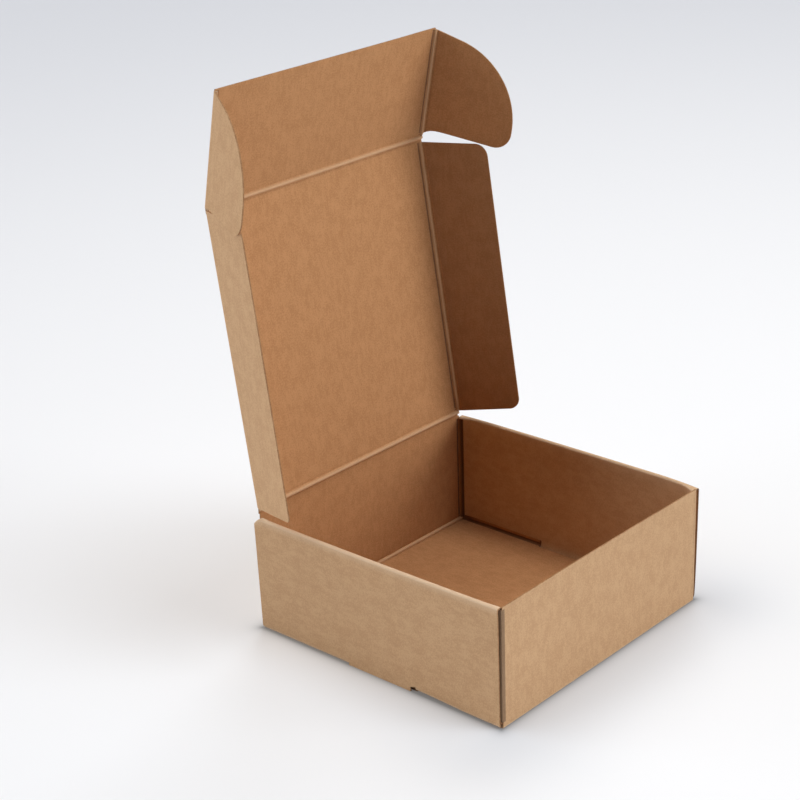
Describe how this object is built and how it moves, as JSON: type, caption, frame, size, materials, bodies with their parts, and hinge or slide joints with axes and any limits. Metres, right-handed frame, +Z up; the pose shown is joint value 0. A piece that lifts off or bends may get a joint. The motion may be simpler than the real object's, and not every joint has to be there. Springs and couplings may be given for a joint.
{
  "type": "folding mailer box",
  "caption": "Small open mailer box folded from plain kraft board, with a hinged lid, side flaps, and a tuck flap with ears; holds and ships small goods.",
  "frame": {"origin": "middle of the base's underside, on the surface that the box stands on", "axes": "+X to the right seen from the front, +Y to the back wall that carries the lid, +Z up"},
  "size_m": [0.0916, 0.0875, 0.1359],
  "materials": {
    "kraft_board": "matt unbleached kraft, uncoated"
  },
  "bodies": {
    "tray": {"tray": "kraft_board"},
    "lid": {"lid_panel": "kraft_board"},
    "left_flap": {"side_flap_left": "kraft_board"},
    "right_flap": {"side_flap_right": "kraft_board"},
    "tuck": {"tuck_flap": "kraft_board"},
    "left_ear": {"ear_left": "kraft_board"},
    "right_ear": {"ear_right": "kraft_board"}
  },
  "joints": [
    {"name": "lid_hinge", "type": "hinge", "parent": "tray", "child": "lid", "pos_m": [0, 0.03785, 0.03235], "axis": [-1, 0, 0], "range_deg": [-98.5, 76.5]},
    {"name": "tuck_fold", "type": "hinge", "parent": "lid", "child": "tuck", "pos_m": [0, 0.04897, 0.10672], "axis": [-1, 0, 0], "range_deg": [-70, 20]},
    {"name": "left_flap_fold", "type": "hinge", "parent": "lid", "child": "left_flap", "pos_m": [-0.0375, 0.03785, 0.03235], "axis": [0, -0.1478, -0.989], "range_deg": [-93.7, 72.8]},
    {"name": "right_flap_fold", "type": "hinge", "parent": "lid", "child": "right_flap", "pos_m": [0.0375, 0.03785, 0.03235], "axis": [0, 0.1478, 0.989], "range_deg": [-93.7, 72.8]},
    {"name": "left_ear_fold", "type": "hinge", "parent": "tuck", "child": "left_ear", "pos_m": [-0.0374, 0.04897, 0.10672], "axis": [0, 0.1994, -0.9799], "range_deg": [-26.1, 7.6]},
    {"name": "right_ear_fold", "type": "hinge", "parent": "tuck", "child": "right_ear", "pos_m": [0.0374, 0.04897, 0.10672], "axis": [0, -0.1994, 0.9799], "range_deg": [-26.1, 7.6]}
  ],
  "couplings": [
    {"joint": "left_flap_fold", "follows": "lid_hinge", "ratio": 0.95},
    {"joint": "right_flap_fold", "follows": "lid_hinge", "ratio": 0.95},
    {"joint": "left_ear_fold", "follows": "tuck_fold", "ratio": 0.37143},
    {"joint": "right_ear_fold", "follows": "tuck_fold", "ratio": 0.37143}
  ]
}
